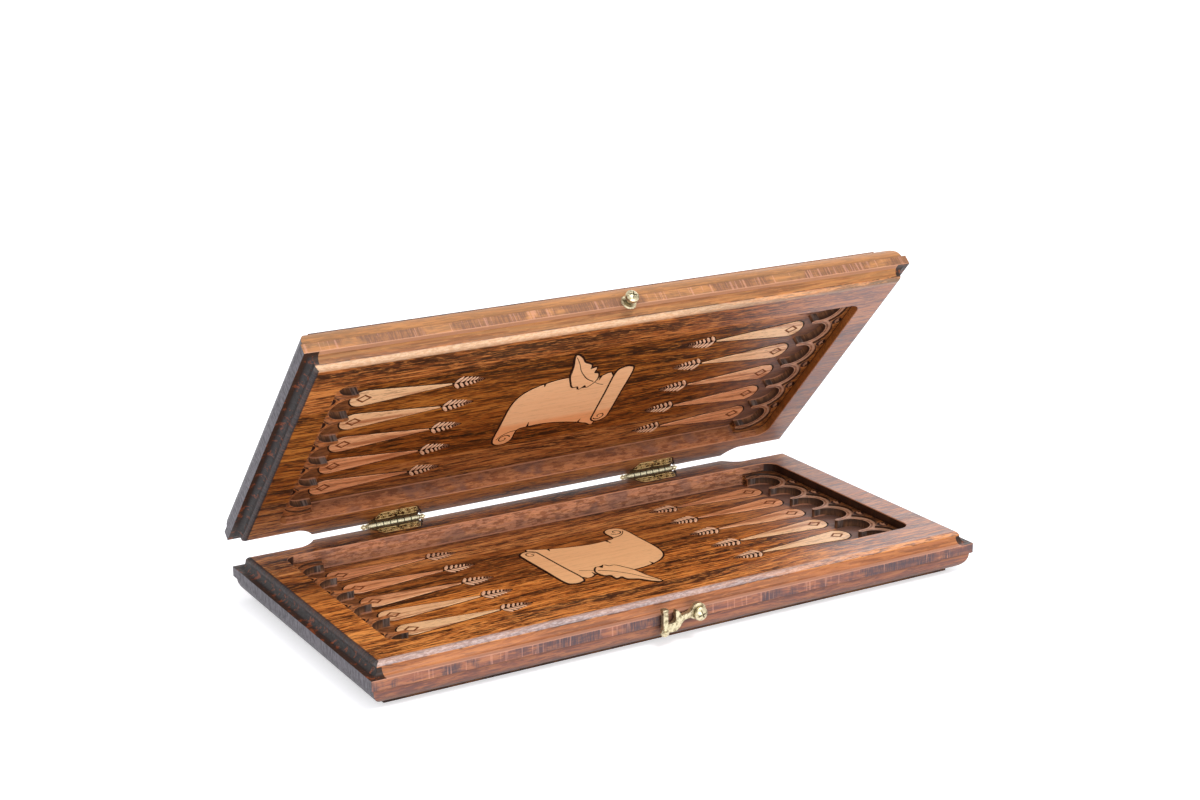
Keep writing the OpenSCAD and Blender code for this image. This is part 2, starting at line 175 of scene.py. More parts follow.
class Shader:
    """A material and short ways to add nodes to it."""

    def __init__(self, name):
        self.material = bpy.data.materials.new(name)
        self.material.use_nodes = True
        self.tree = self.material.node_tree
        self.surface = self.tree.nodes["Principled BSDF"]

    def add(self, kind, inputs=None, out=0, **settings):
        made = self.tree.nodes.new("ShaderNode" + kind)
        for key, value in settings.items():
            setattr(made, key, value)
        for key, value in (inputs or {}).items():
            self.put(made.inputs[key], value)
        return made.outputs[out]

    def put(self, socket, value):
        """Links a socket or sets its value; a colour may be given as it looks on screen."""
        if isinstance(value, bpy.types.NodeSocket):
            self.tree.links.new(value, socket)
        elif socket.type == "RGBA" and len(value) == 3:
            socket.default_value = tone(*value)
        else:
            socket.default_value = value

    def math(self, operation, first, second=0.0):
        return self.add("Math", {0: first, 1: second}, operation=operation)

    def times(self, first, *others):
        """The product of them all."""
        for other in others:
            first = self.math("MULTIPLY", first, other)
        return first

    def inverse(self, value):
        return self.math("SUBTRACT", 1.0, value)

    def distance(self, first, second):
        """The long side of a right triangle with these two legs."""
        return self.math("SQRT", self.math("ADD", self.times(first, first),
                                           self.times(second, second)))

    def step(self, value, low, high):
        """A smooth rise from 0 at low to 1 at high; low may be the larger of the two."""
        return self.add("MapRange", {"Value": value, "From Min": low, "From Max": high},
                        interpolation_type="SMOOTHSTEP")

    def between(self, value, low, high, soft):
        """1 from low to high, fading to 0 over soft on both sides."""
        return self.times(self.step(value, low - soft, low), self.step(value, high + soft, high))

    def mix(self, amount, first, second):
        """A blend of two colours. The sockets are those that the Mix node keeps for colours."""
        made = self.tree.nodes.new("ShaderNodeMix")
        made.data_type = "RGBA"
        self.put(made.inputs[0], amount)
        self.put(made.inputs[6], first)
        self.put(made.inputs[7], second)
        return made.outputs[2]

    def fade(self, value, low, high, first, second):
        """From one colour to another while the value rises from low to high."""
        return self.mix(self.step(value, low, high), first, second)

    def lay(self, colour, over, *masks):
        """The colour with another over it, as strong as all the masks allow."""
        return self.mix(self.times(*masks), colour, over)

    def split(self, vector):
        parts = self.tree.nodes.new("ShaderNodeSeparateXYZ")
        self.put(parts.inputs[0], vector)
        return parts.outputs

    def noise(self, place, scale, detail, stretch=(1, 1, 1), shift=(0, 0, 0), rough=0.5):
        spot = self.add("Mapping", {"Vector": place, "Scale": stretch, "Location": shift})
        return self.add("TexNoise", {"Vector": spot, "Scale": scale, "Detail": detail,
                                     "Roughness": rough})

    def finish(self, **inputs):
        for key, value in inputs.items():
            self.put(self.surface.inputs[key.replace("_", " ")], value)
        return self.material


def tray_place(shader, half):
    """Object coordinates, turned back so that both trays read as if they lay flat."""
    back = places[half].inverted()
    return shader.add("Mapping", {
        "Vector": shader.add("TexCoord", out="Object"),
        "Rotation": tuple(back.to_euler()), "Location": tuple(back.translation)})


def tray_facing(shader, half):
    """The face's direction, turned back in the same way."""
    back = places[half].inverted()
    return shader.split(shader.add("Mapping", {
        "Vector": shader.add("TexCoord", out="Normal"), "Rotation": tuple(back.to_euler())},
        vector_type="VECTOR"))


def dress(material, *names):
    """Gives nodes of the frame one material."""
    for name in names:
        nodes[name].data.materials.clear()
        nodes[name].data.materials.append(material)


print("helpers ready")

# %% [markdown]
# ## Stained beech
# Beech is plain and even, so the stain makes the picture. It gathers in the long streaks and in
# the short dark pores, it lies thin and golden on the hollow of the moulding, and the end grain
# drinks it until it is nearly black. So each point of a stave is first asked where it lies and
# which way it faces, as if its tray lay flat, and each zone of the moulding and of the seats then
# gets its tone, as from a brush. Each stave has its own base and its own piece of the pattern,
# because each was cut from another plank. The upper tray leans towards the light, so its zones
# have tones of their own. Some tones are painted light and shade: sheen on the rims and rounds,
# pale highlights along edges, and shade in the corners, beside the points and on the end walls.

# %% Tones of the two trays
# These tones carry the light that falls on each tray: the sheen pairs are painted reflection, and the
# lower tray's nearly black end walls are painted shade over dark end grain.
half_looks = {
    "lower": {
        "side": (132, 92, 85), "hollow": (180, 117, 80), "sheen": ((148, 128, 125), (190, 172, 169)),
        "ray": (74, 64, 70), "ray_depth": 0.9, "ray_start": 0.45,
        "long_wall": (214, 152, 120), "end_wall": (36, 17, 12), "end_depth": 0.95,
        "right_floor": ((50, 28, 16), (118, 72, 40)), "right_end_lit": False},
    "upper": {
        "side": (172, 123, 80), "hollow": (188, 132, 80), "sheen": ((206, 162, 124), (228, 190, 154)),
        "ray": (108, 72, 56), "ray_depth": 0.8, "ray_start": 0.4,
        "long_wall": (200, 132, 94), "end_wall": (150, 92, 42), "end_depth": 0.6,
        "right_floor": ((92, 50, 22), (178, 112, 58)), "right_end_lit": True},
}

# %% Where a point of a stave lies


class TrayFace:
    """Where a point of a stave lies and which way it faces, as if its tray lay flat."""

    def __init__(self, wood, half, shift):
        self.wood = wood
        self.look = half_looks[half]
        self.shift = shift
        self.place = tray_place(wood, half)
        x, self.y, self.z = wood.split(self.place)
        nx, ny, nz = tray_facing(wood, half)
        self.far_x = wood.math("ABSOLUTE", x)
        far_y = wood.math("ABSOLUTE", self.y)
        self.world_x = wood.split(wood.add("TexCoord", out="Object"))[0]
        self.to_right = wood.step(self.world_x, -150 * mm, 150 * mm)
        self.end = wood.step(wood.math("ABSOLUTE", nx), 0.12, 0.3)
        self.long_edge = wood.step(wood.math("ABSOLUTE", ny), 0.5, 0.8)
        self.up = wood.step(nz, 0.7, 0.93)
        plan = wood.times(wood.step(self.far_x, recess_x + 0.2 * mm, recess_x),
                          wood.between(self.y, front_wall_y, back_wall_y, 0.2 * mm))
        self.inside = wood.times(plan, wood.step(self.z, field_z - 2 * mm, field_z - 1.5 * mm))
        self.wall = wood.step(wood.math("ABSOLUTE", nz), 0.6, 0.3)
        self.inner_wall = wood.times(self.wall, self.inside)
        outer = wood.math("MAXIMUM", wood.step(self.far_x, flat_x, flat_x + 0.1 * mm),
                          wood.step(far_y, flat_y, flat_y + 0.1 * mm))
        self.outer = wood.times(outer, wood.inverse(self.inside))
        by_edge = wood.step(far_y, flat_y - 2.2 * mm, flat_y - 0.6 * mm)
        rounding = wood.times(wood.step(nz, 0.05, 0.35),
                              wood.step(self.z, cove_z, cove_z + 0.3 * mm))
        self.front_round = wood.times(by_edge, rounding, wood.step(self.y, 1 * mm, 0))
        self.cove = wood.times(self.outer, wood.between(self.z, fascia_z, cove_z, 0.3 * mm))
        self.side = wood.times(self.outer, wood.step(self.z, fascia_z + 0.1 * mm, fascia_z))
        fascia = wood.between(self.z, fillet_z + 0.3 * mm, fascia_z - 0.6 * mm, 0.3 * mm)
        self.band = wood.times(self.outer, self.long_edge, fascia)
        across = wood.math("PINGPONG", wood.math("SUBTRACT", self.y, row_back), row_pitch / 2)
        self.off_row = wood.math("ABSOLUTE", wood.math("SUBTRACT", across, row_pitch / 2))

    def noise(self, scale, detail, stretch=(1, 1, 1), rough=0.5, place=None):
        """A noise in the tray's own place, of which every stave shows another part."""
        return self.wood.noise(self.place if place is None else place, scale, detail, stretch,
                               self.shift, rough)


# %% Long grain


def long_grain(wood, face, base):
    """Streaks along X, from broad bands to hair lines, with dark pores and pale flecks."""
    drift = face.noise(6, 2, (0.5, 1, 1))
    sway = wood.add("VectorMath", {0: wood.add("CombineXYZ", {"Y": drift, "Z": drift}),
                                   1: (0, 0.06, 0.06)}, operation="MULTIPLY")
    bent = wood.add("VectorMath", {0: face.place, 1: sway}, operation="ADD")
    broad = face.noise(26, 3, (0.06, 1, 1), 0.6, bent)
    medium = face.noise(170, 4, (0.03, 1, 1), 0.62, bent)
    fine = face.noise(560, 3, (0.05, 1, 1), 0.65, bent)
    coarse = wood.math("ADD", wood.times(broad, 0.3), wood.times(medium, 0.36))
    streaks = wood.math("ADD", coarse, wood.times(fine, 0.34))
    ramp = wood.tree.nodes.new("ShaderNodeValToRGB")
    ramp.color_ramp.elements[0].position = 0.445
    ramp.color_ramp.elements[0].color = deep(base, 0.3)
    ramp.color_ramp.elements[1].position = 0.565
    ramp.color_ramp.elements[1].color = golden(base)
    ramp.color_ramp.elements.new(0.5).color = tone(*base)
    wood.put(ramp.inputs[0], streaks)
    pores = face.noise(640, 2, (0.09, 1, 1), 0.7)
    colour = wood.lay(ramp.outputs[0], deep(base, 0.3), wood.step(pores, 0.53, 0.58), 0.8)
    aside = (face.shift[0] + 3.1, *face.shift[1:])
    flecks = wood.noise(face.place, 760, 2, (0.11, 1, 1), aside, 0.7)
    return wood.lay(colour, golden(base), wood.step(flecks, 0.55, 0.61), 0.7), fine, pores


# %% Mouldings


def paint_mouldings(wood, face, colour):
    """Painted sheen on the round, the stain on the hollow and flat sides of the moulded edge."""
    # Painted reflection: a pale speckled sheen on the upper part of the front round, weaker to the
    # right.
    speck = face.noise(850, 3, (0.3, 1, 1), 0.7)
    sheen = wood.fade(speck, 0.4, 0.62, *face.look["sheen"])
    sheen_fade = wood.times(wood.step(face.world_x, -20 * mm, 230 * mm), 0.56)
    colour = wood.lay(colour, sheen, face.front_round, wood.math("SUBTRACT", 0.82, sheen_fade))
    bands = face.noise(300, 3, (0.04, 1, 1), 0.6)
    hollow = wood.lay(face.look["hollow"], (118, 66, 42), wood.step(bands, 0.54, 0.42), 0.6)
    colour = wood.lay(colour, hollow, face.cove, 0.72)
    colour = wood.lay(colour, face.look["side"], face.side, 0.68)
    # Painted highlight: a pale line along the top edge of the fascia.
    top_edge = wood.between(face.z, fascia_z - 0.6 * mm, fascia_z + 0.1 * mm, 0.2 * mm)
    colour = wood.lay(colour, (214, 158, 130), top_edge, face.outer, 0.5)
    under_fillet = wood.between(face.z, fillet_z - 1.1 * mm, fillet_z, 0.15 * mm)
    colour = wood.lay(colour, (72, 42, 34), face.outer, under_fillet, 0.55)
    foot = wood.step(face.z, base_h + 0.1 * mm, base_h - 0.1 * mm)
    return wood.lay(colour, (92, 54, 42), foot, 0.5)


def paint_end_grain(wood, face, colour):
    """The nearly black ends of the moulding, rusty in the hollow, grey with painted sheen on the flat
    side.
    """
    hatch = face.noise(900, 2, (0.15, 1, 0.15), 0.6)
    flecks = face.noise(170, 3, rough=0.7)
    black = wood.fade(hatch, 0.38, 0.62, (14, 11, 14), (50, 42, 45))
    black = wood.lay(black, (120, 52, 28), wood.step(flecks, 0.63, 0.7), 0.5)
    colour = wood.lay(colour, black, face.end, face.outer, 0.94)
    rusty = wood.fade(flecks, 0.54, 0.64, (22, 11, 9), (124, 58, 22))
    past_flat = wood.step(face.far_x, flat_x, flat_x + 0.1 * mm)
    colour = wood.lay(colour, rusty, face.cove, past_flat, 0.95)
    # Painted sheen: the flat side of each end turns lavender grey, as if lit from the floor.
    grey = wood.fade(hatch, 0.4, 0.6, (56, 52, 58), (104, 98, 106))
    return wood.lay(colour, grey, face.end, face.outer, face.side, 0.9)


def paint_rays(wood, face, colour):
    """Rays on the long edges: hair lines that cross the grain, in dark smudges."""
    bars = face.noise(1150, 2, (1, 0.2, 0.1), 0.6)
    smudge = face.noise(30, 4, (0.8, 0.5, 0.6), 0.6)
    sparse = face.noise(560, 1, (1, 0.2, 0.05))
    cover = wood.step(smudge, face.look["ray_start"], face.look["ray_start"] + 0.08)
    hairs = wood.math("ADD", 0.55, wood.times(wood.step(bars, 0.57, 0.43), 0.45))
    colour = wood.lay(colour, face.look["ray"], cover, face.band, hairs,
                      face.look["ray_depth"])
    return wood.lay(colour, (206, 148, 124), wood.step(sparse, 0.6, 0.67), face.band, 0.4)


# %% Seats and walls


def paint_walls(wood, face, colour):
    """Recess walls: the long ones pale with painted sheen and smoky marks, the end ones in one tone.
    """
    smoke = face.noise(60, 4, (0.5, 1, 0.7), 0.6)
    streaks = face.noise(620, 3, (0.16, 1, 0.6), 0.75)
    # The long walls' pale tone is partly a painted sheen.
    pale = wood.lay(face.look["long_wall"], (104, 54, 38),
                    wood.step(streaks, 0.54, 0.44), 0.62)
    long_wall = wood.times(face.inner_wall, face.long_edge)
    colour = wood.lay(colour, pale, long_wall, 0.66)
    colour = wood.lay(colour, (120, 92, 86), long_wall, wood.step(smoke, 0.5, 0.62), 0.5)
    above_terrace = wood.step(face.z, terrace_z - 0.2 * mm, terrace_z)
    # On the lower tray the nearly black end walls are painted shade over dark end grain.
    return wood.lay(colour, face.look["end_wall"], face.inner_wall, face.end, above_terrace,
                    face.look["end_depth"])


def paint_wall_highlights(wood, face, colour):
    """Painted highlights: pale lines at the foot of the long back wall and at the lip of every wall.
    """
    foot = wood.between(face.z, field_z + 0.1 * mm, field_z + 1.1 * mm, 0.1 * mm)
    at_back = wood.times(wood.step(face.y, 0, 1 * mm), face.long_edge)
    colour = wood.lay(colour, (190, 128, 98), face.inner_wall, foot, at_back, 0.6)
    lip = wood.step(face.z, rim_z - 1.1 * mm, rim_z - 0.5 * mm)
    return wood.lay(colour, (214, 152, 118), face.inner_wall, lip, 0.75)


def paint_ledges(wood, face, colour, terrace):
    """The floors of the terraces, and the ledges with a painted sheen beside each ring."""
    rough = face.noise(420, 3, (0.3, 1, 1), 0.7)
    floor_tone = wood.mix(face.to_right, wood.fade(rough, 0.4, 0.6, (136, 80, 44), (206, 132, 80)),
                          wood.fade(rough, 0.4, 0.6, *face.look["right_floor"]))
    colour = wood.lay(colour, floor_tone, terrace, 0.8)
    ledge_tone = wood.mix(face.to_right, (186, 112, 60), (164, 108, 76))
    ledge_tone = wood.mix(wood.step(rough, 0.42, 0.6), (108, 64, 38), ledge_tone)
    from_seat = wood.distance(wood.math("SUBTRACT", face.far_x, seat_x), face.off_row)
    off_ring = wood.inverse(wood.between(from_seat, seat_r + 0.8 * mm, seat_r + 2.2 * mm, 0.3 * mm))
    # Painted sheen: a pale edge beside each ring, stronger towards the right.
    by_light = wood.math("ADD", 0.15, wood.times(wood.step(face.world_x, 0, 150 * mm), 0.5))
    ledge_tone = wood.lay(ledge_tone, (214, 166, 136), off_ring, by_light)
    on_ledge = wood.between(face.z, ledge_z, ledge_z, 0.2 * mm)
    return wood.lay(colour, ledge_tone, on_ledge, face.up, terrace, 0.9)


def paint_seats(wood, face, colour):
    """The terraces with their seats, whose walls darken upwards and turn grey by the points."""
    past_field = wood.step(face.far_x, field_end_x, field_end_x + 0.5 * mm)
    below_rim = wood.step(face.z, terrace_z + 0.7 * mm, terrace_z + 0.5 * mm)
    terrace = wood.times(past_field, face.inside, below_rim)
    colour = paint_ledges(wood, face, colour, terrace)
    stripes = face.noise(700, 3, (1, 1, 0.1), 0.6)
    wall_tone = wood.fade(face.z, field_z + 1 * mm, ledge_z - 1 * mm, (142, 98, 68), (74, 50, 36))
    wall_tone = wood.lay(wall_tone, (52, 34, 26), wood.step(stripes, 0.6, 0.42), 0.6)
    below_ledge = wood.step(face.z, ledge_z, ledge_z - 0.3 * mm)
    seat_wall = wood.times(terrace, face.wall, below_ledge)
    colour = wood.lay(colour, wall_tone, seat_wall)
    grey = wood.fade(stripes, 0.36, 0.64, (58, 50, 48), (126, 112, 106))
    by_nose = wood.between(face.far_x, nose_x, nose_x + 4 * mm, 1.2 * mm)
    colour = wood.lay(colour, grey, seat_wall, by_nose, 0.75)
    above_ledge = wood.step(face.z, ledge_z, ledge_z + 0.2 * mm)
    return wood.lay(colour, (34, 19, 12), terrace, face.wall, above_ledge, 0.85)


def paint_cuts(wood, face, colour, base):
    """The cuts round the points, painted shade beside them and a painted sheen at the right ends."""
    in_cut = wood.between(face.z, field_z - 1.2 * mm, field_z - 0.25 * mm, 0.15 * mm)
    colour = wood.lay(colour, (36, 18, 9), in_cut, face.inside)
    point_half = wood.add("MapRange", {"Value": face.far_x, "From Min": tip_x,
                                       "From Max": round_end_x, "To Min": tip_r, "To Max": end_r})
    beside = wood.math("SUBTRACT", face.off_row, point_half)
    # Painted shade: a darker band on the floor beside each point.
    shade_beside = wood.step(beside, 4.0 * mm, 0.6 * mm)
    along = wood.step(face.far_x, tip_x + 5 * mm, tip_x + 45 * mm)
    floor_face = wood.times(wood.between(face.z, field_z, field_z, 0.2 * mm), face.inside)
    colour = wood.lay(colour, deep(base, 0.34), shade_beside, along, face.up, floor_face, 0.6)
    # Painted sheen: a pale greyish tone on the floor towards the right end.
    right_end = wood.step(face.world_x, 120 * mm, 190 * mm)
    return wood.lay(colour, (140, 108, 98), right_end, floor_face, 0.4)


def paint_corner_shade(wood, face, colour):
    """Painted shade in the corners, thinner at the ends of the recess that catch the light."""
    # Painted shade: a near-black brown where the occlusion node finds a corner.
    corner = wood.inverse(wood.add("AmbientOcclusion", {"Distance": 12 * mm}, "AO", samples=6))
    lit_end = wood.times(face.inside, wood.step(face.far_x, field_end_x, field_end_x + 2 * mm))
    if not face.look["right_end_lit"]:
        lit_end = wood.times(lit_end, wood.inverse(face.to_right))
    smoky = wood.math("SUBTRACT", 0.92, wood.times(lit_end, 0.5))
    return wood.lay(colour, (26, 11, 5), corner, smoky)


# %% Material for the staves


def stave_relief(wood, face, fine, pores):
    """Bump from the grain, and soft edges that stop where two glued staves lie flush."""
    from_joint = wood.math("PINGPONG", wood.math("SUBTRACT", face.y, row_back), row_pitch)
    radius = wood.times(wood.step(from_joint, 0.6 * mm, 1.1 * mm), 0.5 * mm)
    edge = wood.add("Bevel", {"Radius": radius}, samples=4)
    height = wood.math("ADD", wood.times(fine, 0.6), wood.times(pores, 0.4))
    return wood.add("Bump", {"Strength": 0.3, "Distance": 0.25 * mm, "Height": height,
                             "Normal": edge})


def stained_beech(name, half, base, seed):
    """Wood of one stave; base is its middle colour and seed moves the pattern."""
    wood = Shader(name)
    face = TrayFace(wood, half, (seed * 1.37, seed * 0.73, seed * 0.41))
    colour, fine, pores = long_grain(wood, face, base)
    rim = wood.times(face.up, wood.step(face.z, rim_z - 0.3 * mm, rim_z - 0.1 * mm))
    along = wood.step(face.world_x, 20 * mm, 250 * mm)
    # Painted sheen: the rim tops turn a pale purplish grey towards the right.
    colour = wood.lay(colour, (150, 120, 116), rim, along, 0.46)
    for paint in (paint_mouldings, paint_end_grain, paint_rays, paint_walls, paint_seats):
        colour = paint(wood, face, colour)
    colour = paint_cuts(wood, face, colour, base)
    colour = paint_corner_shade(wood, face, colour)
    colour = paint_wall_highlights(wood, face, colour)
    rough = wood.add("MapRange", {"Value": fine, "From Min": 0.35, "From Max": 0.65,
                                  "To Min": 0.36, "To Max": 0.54})
    gloss = wood.math("MAXIMUM", rim, face.front_round)
    return wood.finish(Base_Color=colour, Roughness=rough, Specular_IOR_Level=0.3,
                       Normal=stave_relief(wood, face, fine, pores),
                       Coat_Weight=wood.times(gloss, 0.22), Coat_Roughness=0.3)


stave_tones = {
    "lower_stave_front": ((174, 97, 40), 1.0), "lower_stave_2": ((178, 97, 37), 2.3),
    "lower_stave_3": ((144, 76, 27), 3.1), "lower_stave_back": ((174, 102, 50), 4.7),
    "upper_stave_front": ((156, 85, 35), 5.2), "upper_stave_2": ((136, 71, 18), 6.6),
    "upper_stave_3": ((126, 62, 13), 7.4), "upper_stave_back": ((146, 82, 36), 8.9),
}
for name, (base, seed) in stave_tones.items():
    dress(stained_beech("wood_" + name, name.split("_")[0], base, seed), name)
print("staves dressed:", len(stave_tones))

# %% [markdown]
# ## Brass
# The hook and the screws are pale cast brass that has dulled in the hollows. The hinges are
# stamped and darkened, with the high spots and the barrels rubbed bright, and a dark line is
# painted where two knuckles meet. All are metals whose colour and roughness wander a little, with
# a fine bump from the casting. An occlusion node finds the hollows, where the patina stays.

# %% Materials for the brass
leaf_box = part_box("lower_leaf_right")
leaf_x = (leaf_box[0].x + leaf_box[1].x) / 2
leaf_front_y = leaf_box[0].y
knuckles = 7
knuckle_pitch = 5.9 * mm
barrel_start = leaf_x - knuckles / 2 * knuckle_pitch
barrel_r = 2.4 * mm


def paint_barrels(metal, place, colour, patches, barrel, dull):
    """Bright knuckles round the hinge axis, with a dark line where two of them meet."""
    x, y, z = metal.split(place)
    spread = metal.distance(metal.math("SUBTRACT", y, axis.y), metal.math("SUBTRACT", z, axis.z))
    near = metal.step(spread, barrel_r + 0.4 * mm, barrel_r)
    rubbed = metal.mix(metal.step(patches, 0.5, 0.7), barrel, shade(barrel, 0.72))
    along = metal.math("SUBTRACT", metal.math("ABSOLUTE", x), barrel_start)
    gap = metal.math("PINGPONG", along, knuckle_pitch / 2)
    return metal.lay(metal.lay(colour, rubbed, near), deep(dull, 0.4), near,
                     metal.step(gap, 0.45 * mm, 0.2 * mm))


def brass(name, bright, dull, rough, grain, cover, hollow=1.2 * mm, barrel=None, metallic=1.0):
    """Brass, dull in patches and dark in hollows of that width; barrel is the knuckles' tone."""
    metal = Shader(name)
    place = metal.add("TexCoord", out="Object")
    patches = metal.noise(place, grain, 4, rough=0.65)
    colour = metal.fade(patches, cover - 0.12, cover + 0.12, bright, dull)
    if barrel:
        colour = paint_barrels(metal, place, colour, patches, barrel, dull)
    pits = metal.noise(place, grain * 2.4, 3, rough=0.7)
    colour = metal.lay(colour, deep(dull, 0.4), metal.step(pits, 0.6, 0.68), 0.55)
    open_sky = metal.add("AmbientOcclusion", {"Distance": hollow}, "AO", samples=6)
    colour = metal.lay(colour, deep(dull, 0.42), metal.step(open_sky, 0.85, 0.35))
    finish = metal.add("MapRange", {"Value": patches, "From Min": 0.3, "From Max": 0.7,
                                    "To Min": rough, "To Max": rough + 0.2})
    relief = metal.add("Bump", {"Strength": 0.35, "Distance": 0.15 * mm,
                                "Height": metal.noise(place, grain * 5, 2),
                                "Normal": metal.add("Bevel", {"Radius": 0.25 * mm}, samples=4)})
    return metal.finish(Base_Color=colour, Metallic=metallic, Roughness=finish, Normal=relief)


cast_brass = brass("cast_brass", (214, 202, 168), (124, 110, 82), 0.3, 300, 0.55, 2.4 * mm)
hinge_brass = brass("hinge_brass", (132, 92, 46), (52, 34, 14), 0.42, 900, 0.5, 0.8 * mm,
                    (250, 242, 206), 0.75)
rubbed_brass = brass("rubbed_brass", (255, 224, 158), (204, 150, 86), 0.34, 700, 0.6, 0.3 * mm,
                     metallic=0.7)
bright_barrel = brass("bright_barrel", (250, 242, 206), (160, 132, 80), 0.26, 420, 0.6)
dress(cast_brass, "latch_hook", "hook_screw", "hook_washer", "stud_screw", "stud_washer")
dress(hinge_brass, "lower_leaf_left", "lower_leaf_right", "upper_leaf_left", "upper_leaf_right",
      "lower_leaf_nails", "upper_leaf_nails")
dress(bright_barrel, "hinge_pin_left", "hinge_pin_right", "hinge_tips")
print("brass dressed")

# %% [markdown]
# ## Building helpers
# The carved ornaments are low relief: flat outlines, raised by a fraction of a millimetre, with
# rounded shoulders. One helper fills an outline with one face, extrudes it, and insets the top a
# few times while it lifts it, as a carver rolls an edge. A second one draws a ridge along a path,
# and a third puts a finished mesh on both trays.

# %% Building helpers


def arc(centre, radius, start, end, steps):
    """Points on an arc, in degrees, as (x, y) pairs."""
    angles = [math.radians(start + (end - start) * k / steps) for k in range(steps + 1)]
    return [(centre[0] + radius * math.cos(a), centre[1] + radius * math.sin(a)) for a in angles]


def smooth_curve(points, closed=True, steps=4):
    """A smooth curve (Catmull-Rom) through the points."""
    curve = []
    count = len(points)
    for k in range(count if closed else count - 1):
        near = [points[(k + d) % count] if closed else points[min(max(k + d, 0), count - 1)]
                for d in (-1, 0, 1, 2)]
        for j in range(steps):
            t = j / steps
            weights = (-t + 2 * t * t - t ** 3, 2 - 5 * t * t + 3 * t ** 3,
                       t + 4 * t * t - 3 * t ** 3, t ** 3 - t * t)
            curve.append(tuple(sum(w * p[i] for w, p in zip(weights, near)) / 2 for i in (0, 1)))
    return curve if closed else curve + [points[-1]]


def raise_outline(mesh, points, low, high, shoulder=0.0, rolls=2):
    """Adds a plate with that outline from low up to high, its top edge rounded by shoulder."""
    face = mesh.faces.new([mesh.verts.new((x, y, low)) for x, y in points])
    face.normal_update()
    if face.normal.z < 0:
        face.normal_flip()
    up = bmesh.ops.extrude_face_region(mesh, geom=[face])["geom"]
    top_face = next(g for g in up if isinstance(g, bmesh.types.BMFace))
    bmesh.ops.translate(mesh, verts=list(top_face.verts), vec=(0, 0, high - low - shoulder))
    for k in range(rolls if shoulder else 0):
        first, second = [math.radians(90 * (k + d) / rolls) for d in (0, 1)]
        bmesh.ops.inset_region(mesh, faces=[top_face], use_even_offset=True,
                               thickness=shoulder * (math.cos(first) - math.cos(second)))
        bmesh.ops.translate(mesh, verts=list(top_face.verts),
                            vec=(0, 0, shoulder * (math.sin(second) - math.sin(first))))
    return top_face


def ridge(mesh, path, width, low, high, taper):
    """Adds a rounded ridge along a path of (x, y) points, narrower at its end."""
    left, right_side = [], []
    for k, (x, y) in enumerate(path):
        before, after = path[max(k - 1, 0)], path[min(k + 1, len(path) - 1)]
        along = Vector((after[0] - before[0], after[1] - before[1])).normalized()
        half = width / 2 * (1 - (1 - taper) * k / (len(path) - 1))
        left.append((x - along.y * half, y + along.x * half))
        right_side.append((x + along.y * half, y - along.x * half))
    raise_outline(mesh, left + right_side[::-1], low, high, width * taper * 0.3, 1)


def both_trays(name, mesh, materials, slots=("lower_stave_2", "upper_stave_2")):
    """Makes the mesh a piece of its own on each tray, in that tray's material, and frees it."""
    for half, slot in zip(places, slots):
        data = bpy.data.meshes.new(half + "_" + name)
        copy = mesh.copy()
        bmesh.ops.transform(copy, matrix=places[half], verts=copy.verts)
        bmesh.ops.recalc_face_normals(copy, faces=copy.faces)
        copy.to_mesh(data)
        copy.free()
        data.materials.append(materials[half])
        piece = add_object(half + "_" + name, data)
        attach(piece, bodies[half])
        print(piece.name, len(data.polygons), "faces")
    mesh.free()


# %% [markdown]
# ## Bare wood and burnt lines
# The points, the ears and the scroll were sanded back to pale wood after staining, while the
# V-cuts around them stayed dark. Two kinds of material do this, each in a few tones: a pale
# beech with thin streaks, and a burnt brown for the cuts.

# %% Materials for the carving


def pale_beech(name, half, base, streak, contrast=0.75, back=None, reach=(-40 * mm, 50 * mm)):
    """Bare wood; back is the warmer tone that it takes towards the hinges, over reach in y."""
    wood = Shader(name + half)
    place = tray_place(wood, half)
    narrow = wood.noise(place, 260, 4, (0.05, 1, 1), rough=0.65)
    pores = wood.noise(place, 760, 2, (0.12, 1, 1), rough=0.7)
    colour = base
    if back:
        colour = wood.fade(wood.split(place)[1], *reach, base, back)
    colour = wood.lay(colour, streak, wood.step(narrow, 0.5, 0.6), contrast)
    colour = wood.lay(colour, shade(streak, 0.7), wood.step(pores, 0.55, 0.62), 0.6 * contrast)
    relief = wood.add("Bump", {"Strength": 0.2, "Distance": 0.2 * mm, "Height": narrow})
    return wood.finish(Base_Color=colour, Roughness=0.45, Normal=relief, Coat_Weight=0.2,
                       Coat_Roughness=0.3)


def burnt_wood(name, half, dark, light):
    """Rough brown wood between two tones, for cuts, burnt lines, dim carving and painted shade."""
    wood = Shader(name + half)
    grain = wood.noise(tray_place(wood, half), 900, 3, (0.2, 1, 1))
    relief = wood.add("Bump", {"Strength": 0.2, "Distance": 0.2 * mm, "Height": grain})
    return wood.finish(Base_Color=wood.mix(grain, dark, light), Roughness=0.7,
                       Specular_IOR_Level=0.15, Normal=relief)


def on_both(make, name, *tones):
    """The same material for each tray."""
    return {half: make(name, half, *tones) for half in places}


carved = on_both(pale_beech, "pale_beech_", (240, 194, 146), (168, 98, 56), 0.85, (230, 158, 110))
leaflets = on_both(pale_beech, "leaflet_", (230, 182, 146), (190, 130, 96), 0.45)
parchment = {"lower": pale_beech("parchment_", "lower", (242, 188, 136), (224, 166, 114), 0.3),
             "upper": pale_beech("parchment_", "upper", (246, 194, 146), (230, 172, 122), 0.3,
                                 (240, 168, 114), (30 * mm, 38 * mm))}
burnt = on_both(burnt_wood, "burnt_", (22, 8, 4), (50, 22, 12))
scorched = on_both(burnt_wood, "scorched_", (98, 52, 28), (136, 80, 48))
dim = on_both(burnt_wood, "dim_beech_", (112, 76, 56), (160, 112, 84))
print("carving materials ready")

